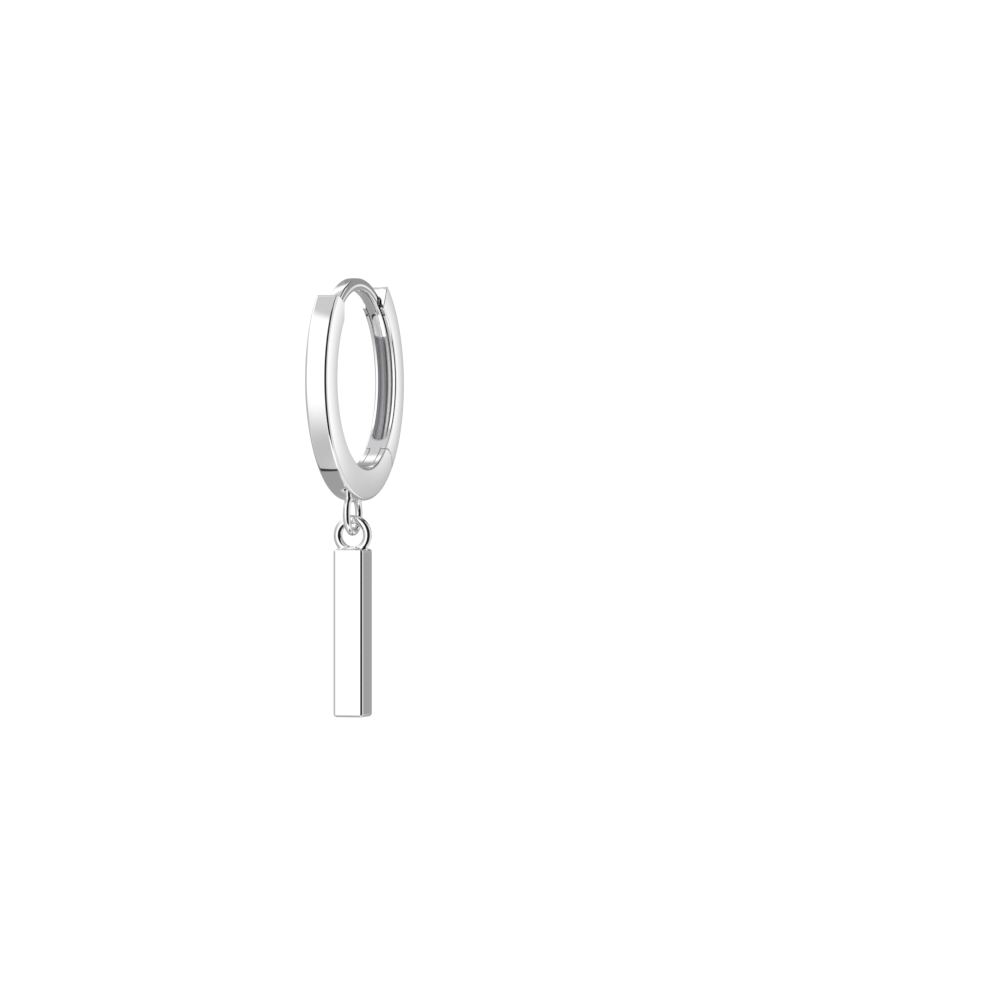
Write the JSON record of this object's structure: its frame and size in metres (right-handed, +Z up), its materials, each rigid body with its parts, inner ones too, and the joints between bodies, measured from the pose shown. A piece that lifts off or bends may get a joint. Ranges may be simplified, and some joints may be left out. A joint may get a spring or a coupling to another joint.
{
  "type": "hinged hoop earring with a square bar drop",
  "caption": "Small hinged hoop in polished white metal with an arched ear post and a square bar hung below on interlocking rings.",
  "frame": {"origin": "middle of the ear post at the top of its arc, where the ear lobe carries it", "axes": "+Z up, against the bar's hang; +Y from the front half to the back half; +X across the band, along the hinge's axis"},
  "size_m": [0.0022, 0.0137, 0.0251],
  "materials": {
    "polished_silver": "mirror polished, rhodium plated"
  },
  "bodies": {
    "front": {"front_half": "polished_silver", "hinge_pin": "polished_silver"},
    "back": {"back_half": "polished_silver"},
    "drop": {"bar_drop": "polished_silver"}
  },
  "joints": [
    {"name": "hoop_hinge", "type": "hinge", "parent": "front", "child": "back", "pos_m": [0, 0.00362, -0.01032], "axis": [-1, 0, 0], "range_deg": [0, 65]},
    {"name": "drop_swing", "type": "hinge", "parent": "front", "child": "drop", "pos_m": [0, -0.00044, -0.01341], "axis": [-1, 0, 0], "range_deg": [-90, 90]}
  ]
}
